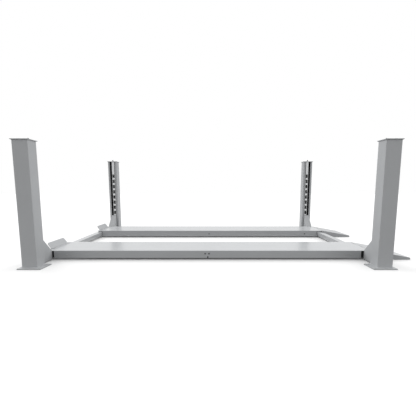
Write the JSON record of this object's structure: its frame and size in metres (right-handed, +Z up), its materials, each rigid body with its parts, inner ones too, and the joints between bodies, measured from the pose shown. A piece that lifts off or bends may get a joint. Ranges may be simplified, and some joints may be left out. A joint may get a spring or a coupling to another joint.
{
  "type": "four-post car lift",
  "caption": "Drive-on car lift: lipped channel posts, crossbeams that rise inside them on cables, parallel runways, wheel stops and hinged ramps",
  "frame": {"origin": "floor level, at the middle of the whole length and width, ramps included", "axes": "+X along the runways from the wheel stops to the ramps, +Y across the lift to its right side, +Z up"},
  "size_m": [5.909, 3.12, 1.844],
  "materials": {
    "grey_paint": "satin light grey powder coat on folded steel",
    "zinc_steel": "zinc plated steel",
    "wire_rope": "galvanised wire rope",
    "cast_iron": "machined cast iron sheaves",
    "nylon": "machined nylon"
  },
  "bodies": {
    "posts": {"front_left_post": "grey_paint", "front_left_base_plate": "grey_paint", "front_left_cap_plate": "grey_paint", "front_left_lock_ladder": "zinc_steel", "front_left_lifting_cable": "wire_rope", "front_left_cable_stud": "zinc_steel", "front_right_post": "grey_paint", "front_right_base_plate": "grey_paint", "front_right_cap_plate": "grey_paint", "front_right_lock_ladder": "zinc_steel", "front_right_lifting_cable": "wire_rope", "front_right_cable_stud": "zinc_steel", "rear_left_post": "grey_paint", "rear_left_base_plate": "grey_paint", "rear_left_cap_plate": "grey_paint", "rear_left_lock_ladder": "zinc_steel", "rear_left_lifting_cable": "wire_rope", "rear_left_cable_stud": "zinc_steel", "rear_right_post": "grey_paint", "rear_right_base_plate": "grey_paint", "rear_right_cap_plate": "grey_paint", "rear_right_lock_ladder": "zinc_steel", "rear_right_lifting_cable": "wire_rope", "rear_right_cable_stud": "zinc_steel"},
    "platform": {"front_left_carriage_cover": "grey_paint", "front_right_carriage_cover": "grey_paint", "rear_left_carriage_cover": "grey_paint", "rear_right_carriage_cover": "grey_paint", "front_crossbeam": "grey_paint", "front_sheaves": "cast_iron", "front_slide_blocks": "nylon", "front_cable_runs": "wire_rope", "rear_crossbeam": "grey_paint", "rear_sheaves": "cast_iron", "rear_slide_blocks": "nylon", "rear_cable_runs": "wire_rope", "left_runway_deck": "grey_paint", "left_runway_outer_rail": "grey_paint", "left_runway_inner_rail": "grey_paint", "left_runway_ribs": "grey_paint", "left_wheel_stop": "grey_paint", "left_ramp_hinge_pin": "zinc_steel", "right_runway_deck": "grey_paint", "right_runway_outer_rail": "grey_paint", "right_runway_inner_rail": "grey_paint", "right_runway_ribs": "grey_paint", "right_wheel_stop": "grey_paint", "right_ramp_hinge_pin": "zinc_steel"},
    "ramp_left": {"left_ramp": "grey_paint"},
    "ramp_right": {"right_ramp": "grey_paint"}
  },
  "joints": [
    {"name": "platform_lift", "type": "slide", "parent": "posts", "child": "platform", "axis": [0, 0, 1], "range_m": [0, 1.3], "deforming": ["front_left_lifting_cable", "front_right_lifting_cable", "rear_left_lifting_cable", "rear_right_lifting_cable"]},
    {"name": "left_ramp_hinge", "type": "hinge", "parent": "platform", "child": "ramp_left", "pos_m": [2.3245, -0.82, 0.135], "axis": [0, -1, 0], "range_deg": [0, 70]},
    {"name": "right_ramp_hinge", "type": "hinge", "parent": "platform", "child": "ramp_right", "pos_m": [2.3245, 0.82, 0.135], "axis": [0, -1, 0], "range_deg": [0, 70]}
  ]
}
